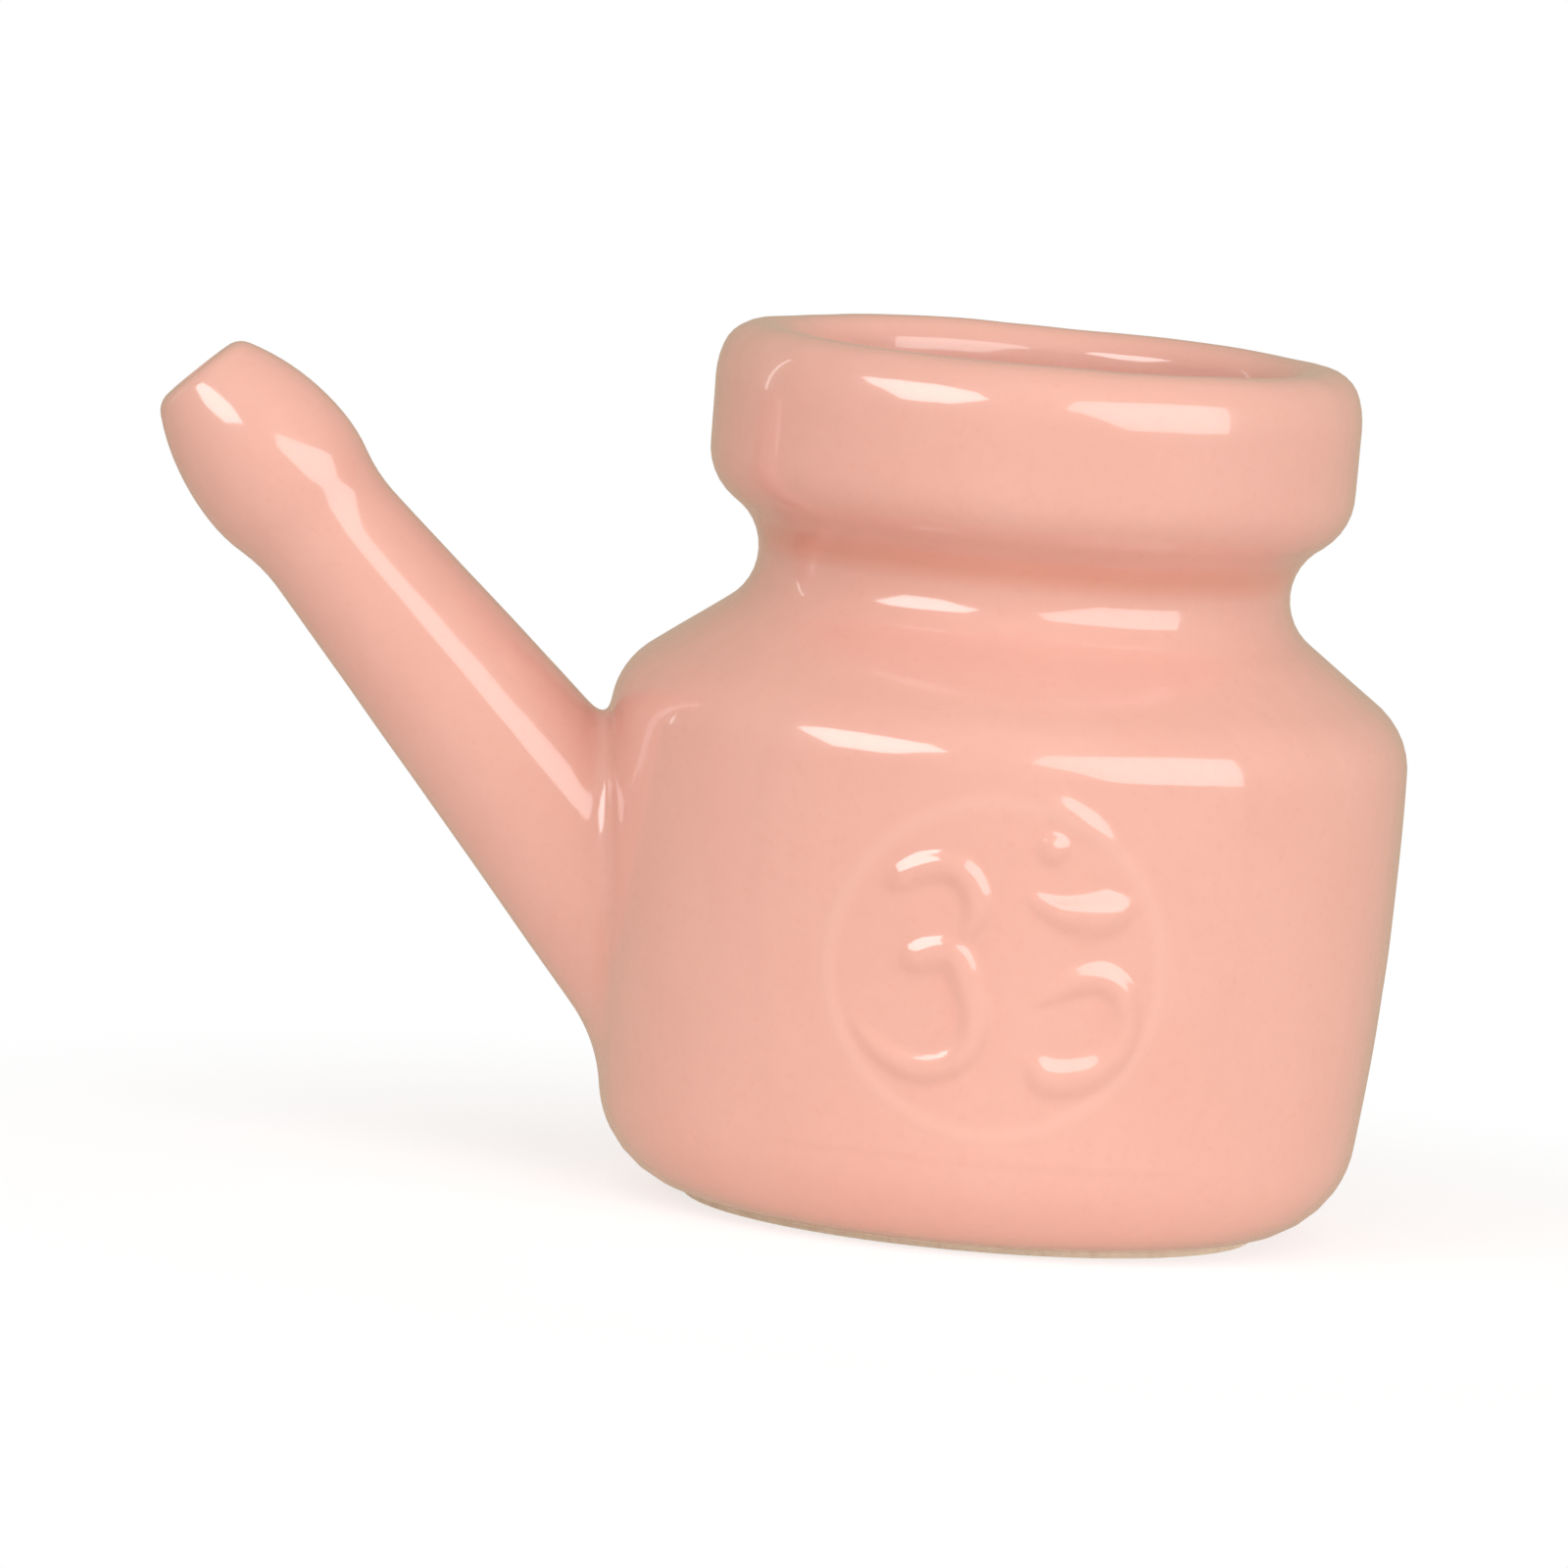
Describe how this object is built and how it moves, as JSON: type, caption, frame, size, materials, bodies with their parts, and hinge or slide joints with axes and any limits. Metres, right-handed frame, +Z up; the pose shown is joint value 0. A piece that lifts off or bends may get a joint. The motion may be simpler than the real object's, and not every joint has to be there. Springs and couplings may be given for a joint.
{
  "type": "neti pot",
  "caption": "One-piece glazed ceramic nasal rinse pot with a round belly, open collared mouth and a slanting spout that ends in a rounded nozzle.",
  "frame": {"origin": "centre of the foot, on the plane that the pot stands on", "axes": "+Z up through the mouth, -X along the spout's reach, -Y out of the face with the medallion"},
  "size_m": [0.1428, 0.0906, 0.098],
  "materials": {
    "pink_glaze": "glossy salmon pink glaze, thinner and paler over edges, with a bare cream clay line at the foot"
  },
  "bodies": {
    "root": {"neti_pot": "pink_glaze"}
  },
  "joints": []
}
